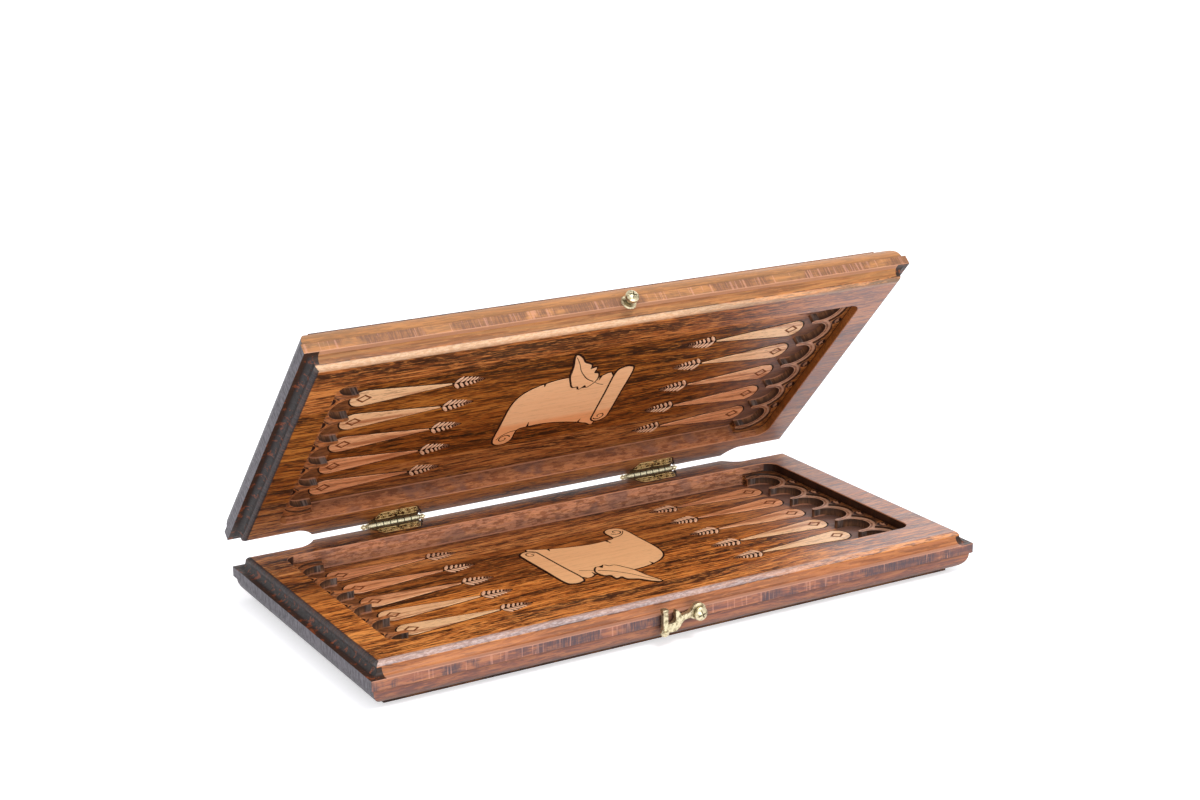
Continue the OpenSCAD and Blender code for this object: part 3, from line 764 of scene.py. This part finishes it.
# %% [markdown]
# ## The points
# Each point is a long drop: a round end at the seat and a fine tip towards the middle. Two arcs
# and their common tangents make the outline. The pale drop stands inside the cut that the stave
# already has, and its top is gently crowned.

# %% Carve the points
point_lift = 0.4 * mm
point_gap = 0.05 * mm


def drop_outline(side, y):
    """A point's outline, a hair smaller than the drop that the cut leaves standing."""
    end_c = round_end_x - end_r
    tip_c = tip_x + tip_r
    lean = math.degrees(math.asin((end_r - tip_r) / (end_c - tip_c)))
    points = arc((end_c, 0), end_r - point_gap, -90 - lean, 90 + lean, 20)
    points += arc((tip_c, 0), tip_r - point_gap, 90 + lean, 270 - lean, 6)
    return [(side * px, y + py) for px, py in points]


points_mesh = bmesh.new()
for side, y in point_places:
    raise_outline(points_mesh, drop_outline(side, y), field_z - 0.1 * mm, field_z + point_lift,
                  point_lift, 3)
both_trays("points", points_mesh, carved)

# %% [markdown]
# ## Lozenges on the points
# Near its round end each point has a small lozenge, cut as a fine dark line. It is a thin frame:
# the lozenge is filled, inset by the width of the line, and its middle is sunk below the wood.

# %% Cut the lozenges
lozenge_x = round_end_x - 10.5 * mm
lozenge_l = 6.4 * mm
lozenge_w = 5.2 * mm
line_w = 1.5 * mm
lozenges = bmesh.new()
for side, y in point_places:
    corners = [(side * lozenge_x + lozenge_l * along, y + lozenge_w * across)
               for along, across in ((1, 0), (0, 1), (-1, 0), (0, -1))]
    top_face = raise_outline(lozenges, corners, field_z + 0.1 * mm,
                             field_z + point_lift + 0.04 * mm)
    for thickness in (line_w, 0.05 * mm):
        bmesh.ops.inset_region(lozenges, faces=[top_face], thickness=thickness,
                               use_even_offset=True)
    bmesh.ops.translate(lozenges, verts=list(top_face.verts), vec=(0, 0, -0.2 * mm))
both_trays("lozenges", lozenges, scorched)

# %% [markdown]
# ## Ears of grain
# Beyond the tip of each point lies an ear of grain: five pairs of leaflets that meet in a V, and
# three dimmer pairs that fade into the field. Under each ear lies a dark bed of painted shade. A
# leaflet is a squashed sphere of few faces, because there are hundreds of them.

# %% Carve the ears
ear_root_x = tip_x - 1.5 * mm
ear_step = 4.7 * mm
pairs = 5
tail_pairs = 3
shrinking = 0.115
crowding = 0.045
leaflet_l = 4.6 * mm
leaflet_w = 1.5 * mm
leaflet_h = 0.8 * mm
leaflet_lean = math.radians(56)
bed_end_x = ear_root_x - ear_step * (pairs - 0.2)
bed_side = [(ear_root_x - 2 * mm, 6 * mm), (ear_root_x - 6 * mm, 7.6 * mm),
            (ear_root_x - 14 * mm, 5 * mm), (bed_end_x, 1.6 * mm)]
bed_outline = smooth_curve([(ear_root_x + 0.4 * mm, 0), *bed_side, (bed_end_x - 3 * mm, 0),
                            *[(x, -y) for x, y in reversed(bed_side)]])
ears = bmesh.new()
ear_tails = bmesh.new()
ear_shade_beds = bmesh.new()


def add_leaflet(mesh, x, y, z, turn, length, width, height):
    """Adds a leaflet that points along the turn."""
    bmesh.ops.create_uvsphere(mesh, u_segments=8, v_segments=5, radius=1,
                              matrix=Matrix.Translation((x, y, z)) @ Matrix.Rotation(turn, 4, "Z")
                              @ Matrix.Rotation(math.pi / 2, 4, "Y")
                              @ Matrix.Diagonal((height, width, length, 1)))


def add_pair(mesh, side, y, k):
    """Adds the pair of leaflets number k of an ear, each smaller and closer than the one before."""
    size = 1 - shrinking * k
    root_x = ear_root_x - ear_step * (k - crowding * k * k)
    x = root_x - (leaflet_l * math.cos(leaflet_lean) + 0.6 * mm) * size
    off = (leaflet_l * math.sin(leaflet_lean) + 0.2 * mm) * size
    for lean in (-1, 1):
        turn = lean * leaflet_lean if side < 0 else math.pi - lean * leaflet_lean
        add_leaflet(mesh, side * x, y + lean * off, field_z, turn, leaflet_l * size,
                    leaflet_w * size, leaflet_h * (0.4 + 0.6 * size))


for side, y in point_places:
    for k in range(pairs + tail_pairs):
        add_pair(ears if k < pairs else ear_tails, side, y, k)
    # Painted shade: a dark bed under each ear, in the burnt material.
    raise_outline(ear_shade_beds, [(side * px, y + py) for px, py in bed_outline],
                  field_z - 0.3 * mm, field_z + 0.06 * mm)
both_trays("ears", ears, leaflets)
both_trays("ear_tails", ear_tails, dim)
both_trays("ear_shade_beds", ear_shade_beds, burnt)

# %% [markdown]
# ## Buds on the terraces
# Between the rings of the seats, close to the end wall, sits a bud of three small leaves.

# %% Carve the buds
bud_x = recess_x - 5.5 * mm
buds = bmesh.new()
bud_beds = bmesh.new()
for side in (-1, 1):
    for low_y, high_y in zip(row_ys, row_ys[1:]):
        y = (low_y + high_y) / 2
        for lean in (-55, 0, 55):
            turn = math.radians(lean) if side > 0 else math.radians(180 - lean)
            add_leaflet(buds, side * bud_x + 1.5 * mm * math.cos(turn),
                        y + 2.2 * mm * math.sin(turn), terrace_z, turn,
                        2.0 * mm, 0.9 * mm, 0.7 * mm)
        bed = [(px + side * (bud_x + 1.2 * mm), py + y)
               for px, py in arc((0, 0), 4.2 * mm, 0, 345, 23)]
        raise_outline(bud_beds, bed, terrace_z - 0.2 * mm, terrace_z + 0.03 * mm)
both_trays("buds", buds, dim)
both_trays("bud_beds", bud_beds, burnt)

# %% [markdown]
# ## The scroll
# A blank scroll with a quill fills the middle of each field, a common ornament on such boards. It
# is drawn with a few points and a smooth curve through them. The sheet, the roll and the quill are
# pale plates at three heights, and each lies on a dark plate that is a little larger, so that a
# burnt line runs round it. The spirals, the rib of the quill and the small tears are burnt ridges.

# %% Draw the scroll, in millimetres
sheet_points = [(-31, -16), (-18, -17), (-4, -21), (12, -23), (26, -20.5), (38, -15), (46, -6),
                (49, 8), (48.5, 34), (48, 54), (44, 61), (37, 62), (32, 57), (31.5, 43),
                (22, 40.5), (8, 40), (-8, 43), (-22, 47), (-32, 51), (-40, 50)]
roll_points = [(-49, 42), (-48, 10), (-47, -20), (-43, -26), (-37, -26), (-32.5, -20), (-34, 8),
               (-35.5, 38), (-36.5, 47), (-42, 50.5), (-47.5, 48)]
quill_points = [(-17, -14), (-12, -6), (-9, -9.5), (-5.5, -5), (-3, -9), (1.5, -9.5), (5, -16),
                (9, -26), (11, -39), (15, -55), (8.5, -50.5), (3.5, -43), (-4, -38), (-5.5, -32),
                (-10.5, -33), (-11, -25.5), (-15.5, -23)]
stem_points = [(-27, -5), (-21, -8), (-16, -12)]
rib_points = [(-15, -13), (-7, -19), (2, -31), (8, -43), (14, -53)]
tears = [((-24, 48.5), (-25, 43)), ((23, 41.5), (24, 34)), ((29, -21), (28, -16)),
         ((-20, -18), (-20, -12.5))]
curl_seam = [(31.5, 43.5), (38, 45), (43, 49), (46, 54)]
curls = [((-41.5, 43), 5.2, 0.4), ((39.5, 54), 5.6, 3.4)]


def grown(curve, amount):
    """The closed curve moved outwards by the amount, whichever way round it is drawn."""
    count = len(curve)
    area = sum(curve[k][0] * curve[k - 1][1] - curve[k - 1][0] * curve[k][1] for k in range(count))
    turn = 1 if area < 0 else -1
    moved = []
    for k in range(count):
        along = Vector(curve[(k + 1) % count]) - Vector(curve[k - 1])
        out = Vector((along.y, -along.x)).normalized() * (turn * amount)
        moved.append((curve[k][0] + out.x, curve[k][1] + out.y))
    return moved


def in_metres(curve):
    return [(x * mm, y * mm) for x, y in curve]


def spiral(x, y, radius, turns, start):
    """A spiral that winds inwards round (x, y) to a fifth of its radius."""
    count = int(turns * 14)
    return [(x + radius * (1 - 0.82 * k / count) * math.cos(start + math.tau * turns * k / count),
             y + radius * (1 - 0.82 * k / count) * math.sin(start + math.tau * turns * k / count))
            for k in range(count + 1)]


print("sheet points:", len(sheet_points), "quill points:", len(quill_points))

# %% Carve the scroll
scroll = bmesh.new()
scroll_cuts = bmesh.new()
scroll_lines = bmesh.new()
sheet_z = field_z + 0.4 * mm
roll_z = field_z + 0.6 * mm
quill_z = field_z + 0.75 * mm
burnt_line = 1.5 * mm


def burn(path, width, plate_z, taper):
    """A burnt line on a plate; path and width are in millimetres."""
    ridge(scroll_lines, in_metres(path), width * mm, plate_z - 0.3 * mm, plate_z + 0.05 * mm, taper)


for points, plate_z, under in ((sheet_points, sheet_z, field_z), (roll_points, roll_z, sheet_z),
                               (quill_points, quill_z, sheet_z)):
    outline = in_metres(smooth_curve(points))
    raise_outline(scroll, outline, field_z - 0.1 * mm, plate_z, 0.25 * mm)
    raise_outline(scroll_cuts, grown(outline, burnt_line), field_z - 0.3 * mm, under + 0.05 * mm)
for tear in tears:
    burn(tear, 2.8, sheet_z, 0.25)
burn(smooth_curve(curl_seam, False), 1.8, sheet_z, 0.7)
for ((x, y), radius, start), plate_z in zip(curls, (roll_z, sheet_z)):
    burn(spiral(x, y, radius, 1.2, start), 2.1, plate_z, 0.8)
burn(smooth_curve(stem_points, False), 1.1, sheet_z, 0.8)
burn(smooth_curve(rib_points, False), 1.4, quill_z, 0.6)
both_trays("scroll", scroll, parchment)
both_trays("scroll_cuts", scroll_cuts, burnt)
both_trays("scroll_lines", scroll_lines, burnt)

# %% [markdown]
# ## Embossed hinge leaves
# The hinge leaves are stamped with scrolls. The relief is made of ridges: a border along the
# outer edge, four pairs of spirals that mirror each other, a fan in the middle and small bosses
# between them. It stays lower than the rim, so the board still closes.

# %% Emboss the leaves
leaf_face_z = rim_z - 0.6 * mm
emboss_top = leaf_face_z + 0.5 * mm
# Each curl is x, y, radius, turns and start.
leaf_curls = [(11.5, 3.6, 2.9, 1.6, 0.4), (5.6, 4.2, 2.6, 1.5, 2.6), (13.5, 8.2, 2.4, 1.4, 1.2),
              (8.2, 8.4, 2.3, 1.4, 4.0)]
leaf_border = [(0.5, 0.7), (6, 0.7), (13, 0.7), (15.2, 1.6), (16.3, 4), (17.6, 7.5)]
leaf_stem = [(1, 9.6), (5, 10.2), (10, 10.6), (15, 10.3), (17.5, 9.6)]
bosses = [(3.0, 1.9), (8.5, 1.8), (10.9, 6.6), (15.4, 5.2), (3.2, 7.2)]
relief_mesh = bmesh.new()


def on_leaf(side, flip, x, y):
    """A place on a leaf, x millimetres from its middle and y from its front edge."""
    return (side * leaf_x + flip * x * mm, leaf_front_y + y * mm)


def emboss(side, flip, path, width, taper):
    """A raised line on a leaf; path and width are in millimetres."""
    ridge(relief_mesh, [on_leaf(side, flip, x, y) for x, y in path], width * mm,
          leaf_face_z - 0.1 * mm, emboss_top, taper)


for side in (-1, 1):
    for flip in (-1, 1):
        for curl in leaf_curls:
            emboss(side, flip, spiral(*curl), 0.95, 0.7)
        emboss(side, flip, leaf_border, 0.9, 0.8)
        emboss(side, flip, leaf_stem, 0.8, 0.6)
        for x, y in bosses:
            add_leaflet(relief_mesh, *on_leaf(side, flip, x, y), leaf_face_z, 0.6 * flip,
                        0.9 * mm, 0.7 * mm, 0.42 * mm)
    for petal in (-64, -32, 0, 32, 64):
        turn = math.radians(90 + petal)
        emboss(side, 1, [(d * math.cos(turn), 2 + d * math.sin(turn)) for d in (5.2, 3.6, 1.6)],
               1.1, 0.5)
both_trays("leaf_relief", relief_mesh, dict.fromkeys(places, rubbed_brass),
           ("hinge_brass", "hinge_brass"))

# %% [markdown]
# ## The cast hook
# The hook is cast, so all its edges are soft. The frame's hook has the right outline but crisp
# edges, so a copy takes its place: its flat faces are joined again, and a bevel modifier rounds
# every sharp edge.

# %% Round the hook's edges
hook_data = nodes["latch_hook"].data.copy()
hook_mesh = bmesh.new()
hook_mesh.from_mesh(hook_data)
bmesh.ops.remove_doubles(hook_mesh, verts=hook_mesh.verts, dist=0.01 * mm)
bmesh.ops.dissolve_limit(hook_mesh, angle_limit=math.radians(1), verts=hook_mesh.verts,
                         edges=hook_mesh.edges)
for face in hook_mesh.faces:
    face.smooth = True
hook_mesh.to_mesh(hook_data)
hook_mesh.free()
cast_hook = add_object("cast_hook", hook_data)
soften = cast_hook.modifiers.new("soft_edges", "BEVEL")
soften.width = 0.7 * mm
soften.segments = 3
soften.limit_method = "ANGLE"
soften.angle_limit = math.radians(40)
soften.harden_normals = True
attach(cast_hook, "hook")
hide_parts("latch_hook")
print("hook faces", len(hook_data.polygons))

# %% [markdown]
# ## Floor, backdrop and light
# The board stands on a white table in soft light. The floor glows a little for the rays that the
# camera sees it by, so that it reads as white paper and still shows the shadow. The sky is white
# for the same rays, and a little dimmer as a light. One wide lamp above the front models the
# carving, a low one in front lights the insides of the trays, and one behind on the right puts a
# pale sheen on the rounded rims.

# %% Stage and lamps
floor_glow = 0.54
sky_level = 0.84


def seen_rays(tree):
    """1 for camera, glossy and transmission rays, 0 for the rays that only carry light."""
    path = tree.nodes.new("ShaderNodeLightPath")
    seen = path.outputs["Is Camera Ray"]
    for kind in ("Is Glossy Ray", "Is Transmission Ray"):
        either = tree.nodes.new("ShaderNodeMath")
        either.operation = "MAXIMUM"
        tree.links.new(seen, either.inputs[0])
        tree.links.new(path.outputs[kind], either.inputs[1])
        seen = either.outputs[0]
    return seen


floor_data = bpy.data.meshes.new("floor")
floor_mesh = bmesh.new()
bmesh.ops.create_grid(floor_mesh, x_segments=1, y_segments=1, size=8)
floor_mesh.to_mesh(floor_data)
floor_mesh.free()
floor = add_object("floor", floor_data)
paper = Shader("paper")
paper.finish(Base_Color=(0.8, 0.8, 0.84, 1), Roughness=0.9, Specular_IOR_Level=0,
             Emission_Color=(1, 1, 1, 1),
             Emission_Strength=paper.times(seen_rays(paper.tree), floor_glow))
floor_data.materials.append(paper.material)

world = bpy.data.worlds.new("studio")
bpy.context.scene.world = world
world.use_nodes = True
sky_nodes = world.node_tree.nodes
sky_links = world.node_tree.links
sky_nodes["Background"].inputs["Color"].default_value = (1, 1, 1, 1)
strength = sky_nodes.new("ShaderNodeMapRange")
strength.inputs["To Min"].default_value = sky_level
strength.inputs["To Max"].default_value = 1.0
sky_links.new(seen_rays(world.node_tree), strength.inputs["Value"])
sky_links.new(strength.outputs[0], sky_nodes["Background"].inputs["Strength"])


def lamp(name, place, aim, size, power, colour=(1, 1, 1)):
    data = bpy.data.lights.new(name, "AREA")
    data.shape = "RECTANGLE"
    data.size, data.size_y = size
    data.energy = power
    data.color = colour
    made = add_object(name, data)
    made.location = place
    made.rotation_euler = (Vector(aim) - Vector(place)).to_track_quat("-Z", "Y").to_euler()


lamp("key_lamp", (0.2, -1.0, 1.7), (0, 0, 0.05), (0.8, 0.6), 18)
lamp("front_lamp", (-0.2, -2.0, 0.35), (0, 0.05, 0.1), (1.2, 0.5), 14)
lamp("rim_lamp", (1.3, 0.9, 0.9), (0.1, 0, 0.1), (0.9, 0.9), 4, (0.95, 0.96, 1))
print("stage ready")
